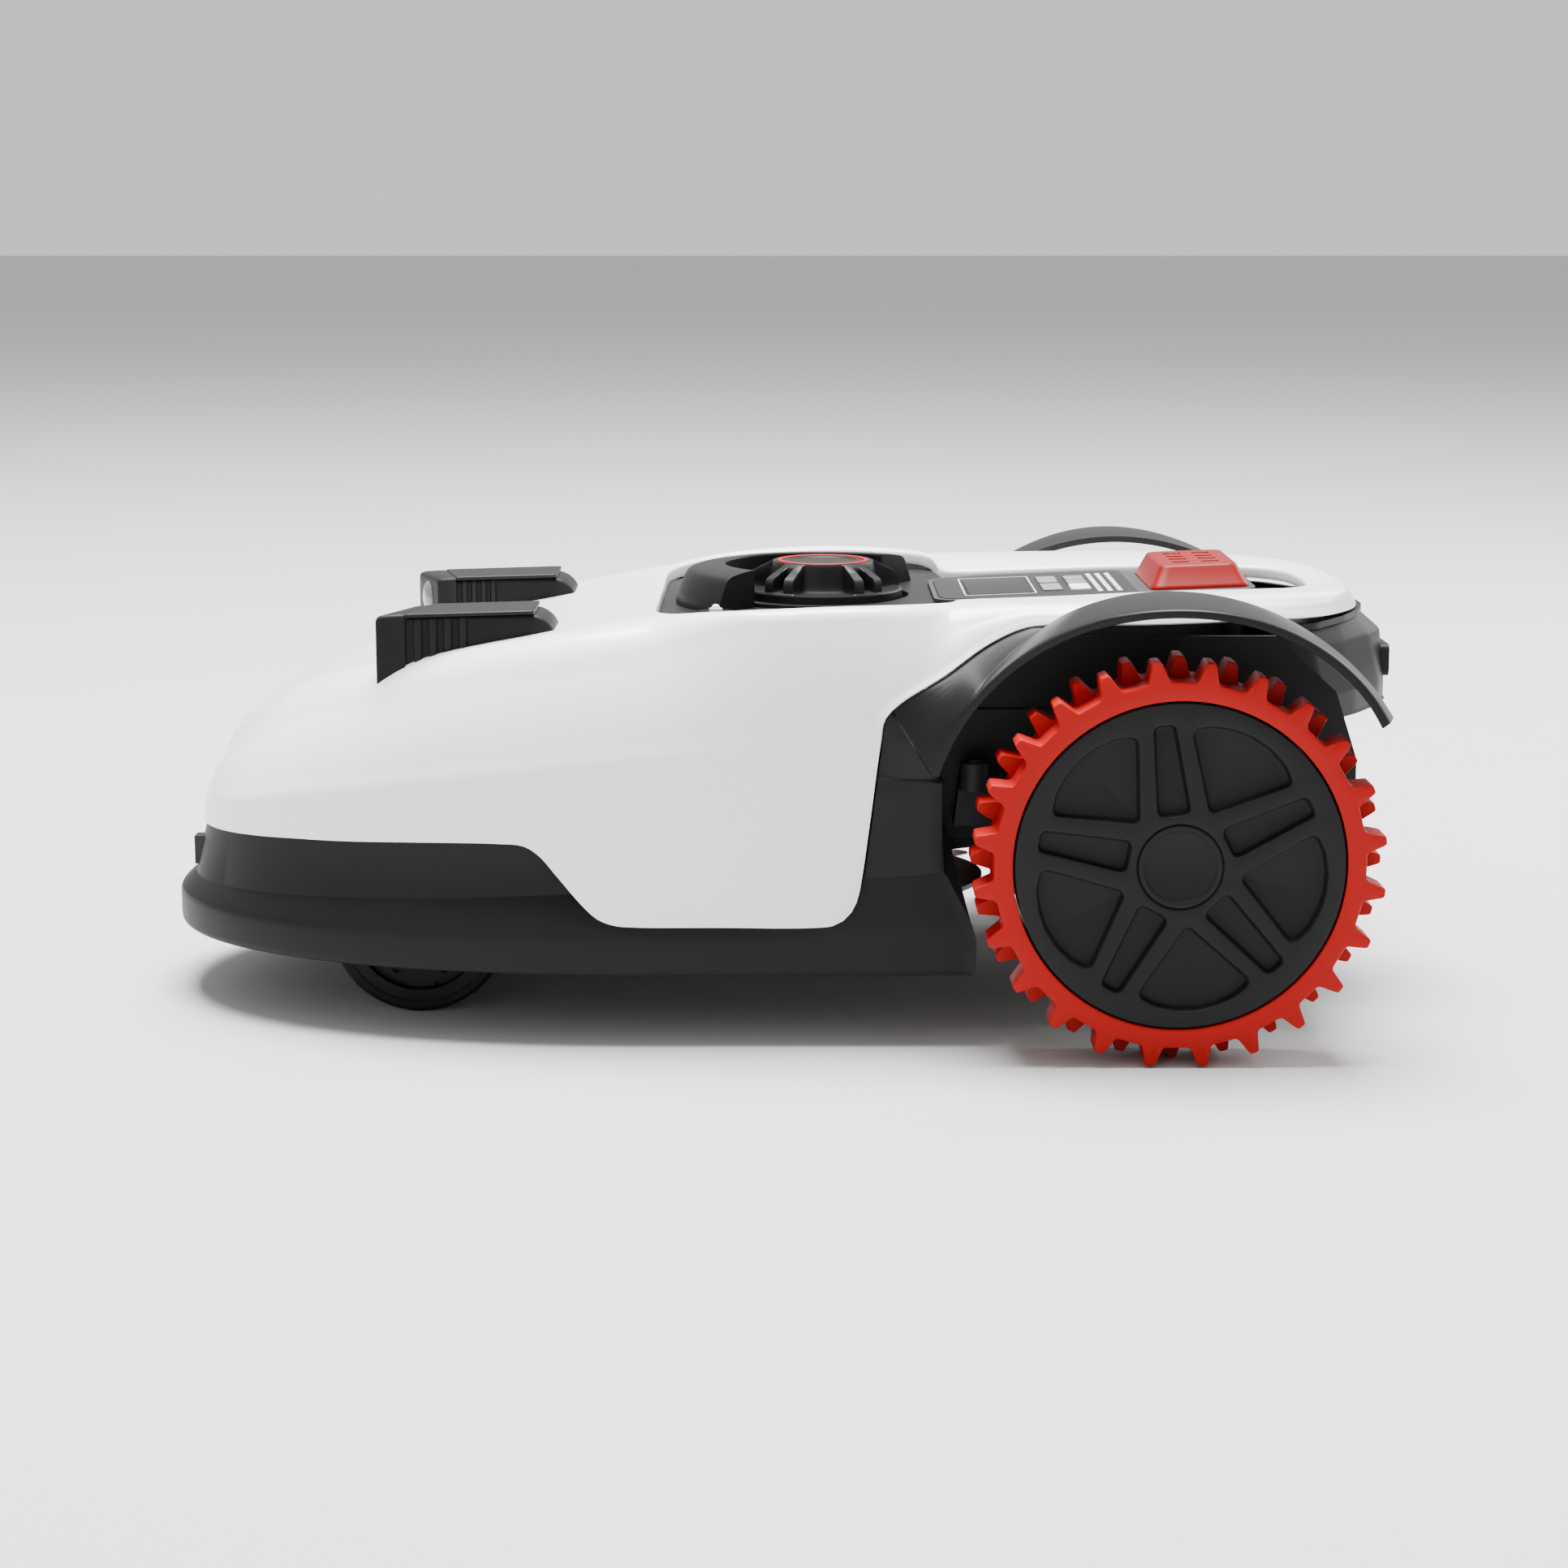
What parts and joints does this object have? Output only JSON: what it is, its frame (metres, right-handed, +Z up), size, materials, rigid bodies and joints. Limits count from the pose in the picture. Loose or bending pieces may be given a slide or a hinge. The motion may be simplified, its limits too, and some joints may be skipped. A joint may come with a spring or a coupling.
{
  "type": "robotic lawn mower",
  "caption": "Four-wheeled robotic lawn mower with a floating white cover, lugged rear drive wheels, swivel casters, a height knob, keys and a stop button.",
  "frame": {"origin": "on the ground plane, under the centre of the bounding box", "axes": "+X forward to the nose, +Y to the mower's left, +Z up"},
  "size_m": [0.763, 0.48, 0.269],
  "materials": {
    "cover_white": "glossy white moulded plastic with a fine orange peel",
    "body_black": "satin black moulded plastic, fine grain",
    "fender_grey": "satin charcoal plastic",
    "deck_grey": "satin charcoal plastic, fine grain",
    "pod_black": "matte black plastic, ribbed",
    "lens": "clear dark lens",
    "wheel_black": "satin black plastic",
    "tyre_red": "semi-matte red rubber",
    "caster_black": "dark plastic",
    "caster_tyre": "black rubber",
    "knob_black": "satin black plastic",
    "ring_red": "semi-gloss red plastic",
    "stop_red": "semi-gloss red plastic",
    "panel_grey": "satin dark grey plastic",
    "face_grey": "printed grey membrane",
    "display": "grey reflective display window",
    "key_grey": "soft grey keys",
    "key_white": "white key",
    "sensor_white": "white plastic",
    "motor_metal": "die-cast housing",
    "steel": "bright steel",
    "bearing_steel": "ground steel",
    "contact_metal": "plated contact strips",
    "battery": "shrink-wrapped battery pack",
    "board_green": "solder-masked circuit board",
    "rubber_black": "black rubber bellows",
    "disc_dark": "dark coated disc"
  },
  "bodies": {
    "chassis": {"chassis_tray": "body_black", "front_skirt": "body_black", "fender_left": "fender_grey", "fender_right": "fender_grey", "rear_housing": "body_black", "tail_plate": "body_black", "centre_deck": "deck_grey", "knob_dome": "deck_grey", "panel_housing": "panel_grey", "panel_face": "face_grey", "display_window": "display", "rain_sensor": "sensor_white", "battery_pack": "battery", "battery_door": "body_black", "main_board": "board_green", "wheel_motor_left": "motor_metal", "wheel_motor_right": "motor_metal", "wheel_bearings": "bearing_steel", "caster_sockets": "bearing_steel", "lift_guides": "steel", "charge_contacts": "contact_metal", "housing_screws": "steel", "cover_mounts": "rubber_black"},
    "floating_cover": {"top_cover": "cover_white", "sensor_pod_left": "pod_black", "sensor_pod_right": "pod_black", "sensor_lens_left": "lens", "sensor_lens_right": "lens"},
    "wheel_left": {"wheel_rim_left": "wheel_black", "tyre_left": "tyre_red", "hub_cap_left": "wheel_black", "drive_shaft_left": "steel"},
    "caster_swivel_left": {"caster_fork_left": "caster_black"},
    "caster_wheel_left": {"caster_rim_left": "caster_black", "caster_tyre_left": "caster_tyre"},
    "wheel_right": {"wheel_rim_right": "wheel_black", "tyre_right": "tyre_red", "hub_cap_right": "wheel_black", "drive_shaft_right": "steel"},
    "caster_swivel_right": {"caster_fork_right": "caster_black"},
    "caster_wheel_right": {"caster_rim_right": "caster_black", "caster_tyre_right": "caster_tyre"},
    "knob": {"height_knob": "knob_black", "knob_ring": "ring_red"},
    "carriage": {"cutter_carriage": "disc_dark", "cutter_motor": "motor_metal"},
    "cutter": {"cutter_disc": "disc_dark", "blade_screws": "steel"},
    "blade_a": {"blade_a": "steel"},
    "blade_b": {"blade_b": "steel"},
    "blade_c": {"blade_c": "steel"},
    "stop": {"stop_button": "stop_red"},
    "key_menu": {"key_menu": "key_grey"},
    "key_back": {"key_back": "key_grey"},
    "key_start": {"key_start": "key_white"},
    "key_up": {"key_up": "key_grey"},
    "key_down": {"key_down": "key_grey"}
  },
  "joints": [
    {"name": "cover_lift", "type": "slide", "parent": "chassis", "child": "floating_cover", "axis": [0, 0, 1], "range_m": [0, 0.004], "stiffness_N_per_m": 2000, "springref_m": -0.012},
    {"name": "wheel_turn_left", "type": "hinge", "parent": "chassis", "child": "wheel_left", "pos_m": [-0.226, 0.21, 0.1175], "axis": [0, 1, 0], "continuous": true},
    {"name": "caster_swivel_turn_left", "type": "hinge", "parent": "chassis", "child": "caster_swivel_left", "pos_m": [0.23, 0.094, 0.11], "axis": [0, 0, 1], "continuous": true},
    {"name": "caster_roll_left", "type": "hinge", "parent": "caster_swivel_left", "child": "caster_wheel_left", "pos_m": [0.221, 0.094, 0.054], "axis": [0, 1, 0], "continuous": true},
    {"name": "wheel_turn_right", "type": "hinge", "parent": "chassis", "child": "wheel_right", "pos_m": [-0.226, -0.21, 0.1175], "axis": [0, 1, 0], "continuous": true},
    {"name": "caster_swivel_turn_right", "type": "hinge", "parent": "chassis", "child": "caster_swivel_right", "pos_m": [0.23, -0.094, 0.11], "axis": [0, 0, 1], "continuous": true},
    {"name": "caster_roll_right", "type": "hinge", "parent": "caster_swivel_right", "child": "caster_wheel_right", "pos_m": [0.221, -0.094, 0.054], "axis": [0, 1, 0], "continuous": true},
    {"name": "height_knob_turn", "type": "hinge", "parent": "chassis", "child": "knob", "pos_m": [-0.026, 0, 0.25], "axis": [0, 0, 1], "range_deg": [-240.2, 80.2]},
    {"name": "cutter_lift", "type": "slide", "parent": "chassis", "child": "carriage", "axis": [0, 0, 1], "range_m": [-0.03, 0.01]},
    {"name": "cutter_spin", "type": "hinge", "parent": "carriage", "child": "cutter", "pos_m": [-0.04, 0, 0.07], "axis": [0, 0, 1], "continuous": true},
    {"name": "blade_a_pivot", "type": "hinge", "parent": "cutter", "child": "blade_a", "pos_m": [-0.0628, 0.07459, 0.0624], "axis": [0, 0, 1], "continuous": true},
    {"name": "blade_b_pivot", "type": "hinge", "parent": "cutter", "child": "blade_b", "pos_m": [-0.0932, -0.05705, 0.0624], "axis": [0, 0, 1], "continuous": true},
    {"name": "blade_c_pivot", "type": "hinge", "parent": "cutter", "child": "blade_c", "pos_m": [0.036, -0.01755, 0.0624], "axis": [0, 0, 1], "continuous": true},
    {"name": "stop_press", "type": "slide", "parent": "chassis", "child": "stop", "axis": [-0.0384, 0, -0.9993], "range_m": [0, 0.0029], "stiffness_N_per_m": 3000, "springref_m": -0.002},
    {"name": "key_menu_press", "type": "slide", "parent": "chassis", "child": "key_menu", "axis": [-0.0384, 0, -0.9993], "range_m": [0, 0.0007], "stiffness_N_per_m": 800, "springref_m": -0.001},
    {"name": "key_back_press", "type": "slide", "parent": "chassis", "child": "key_back", "axis": [-0.0384, 0, -0.9993], "range_m": [0, 0.0007], "stiffness_N_per_m": 800, "springref_m": -0.001},
    {"name": "key_start_press", "type": "slide", "parent": "chassis", "child": "key_start", "axis": [-0.0384, 0, -0.9993], "range_m": [0, 0.0007], "stiffness_N_per_m": 800, "springref_m": -0.001},
    {"name": "key_up_press", "type": "slide", "parent": "chassis", "child": "key_up", "axis": [-0.0384, 0, -0.9993], "range_m": [0, 0.0007], "stiffness_N_per_m": 800, "springref_m": -0.001},
    {"name": "key_down_press", "type": "slide", "parent": "chassis", "child": "key_down", "axis": [-0.0384, 0, -0.9993], "range_m": [0, 0.0007], "stiffness_N_per_m": 800, "springref_m": -0.001}
  ],
  "couplings": [
    {"joint": "height_knob_turn", "follows": "cutter_lift", "rad_per_m": 139.66}
  ]
}
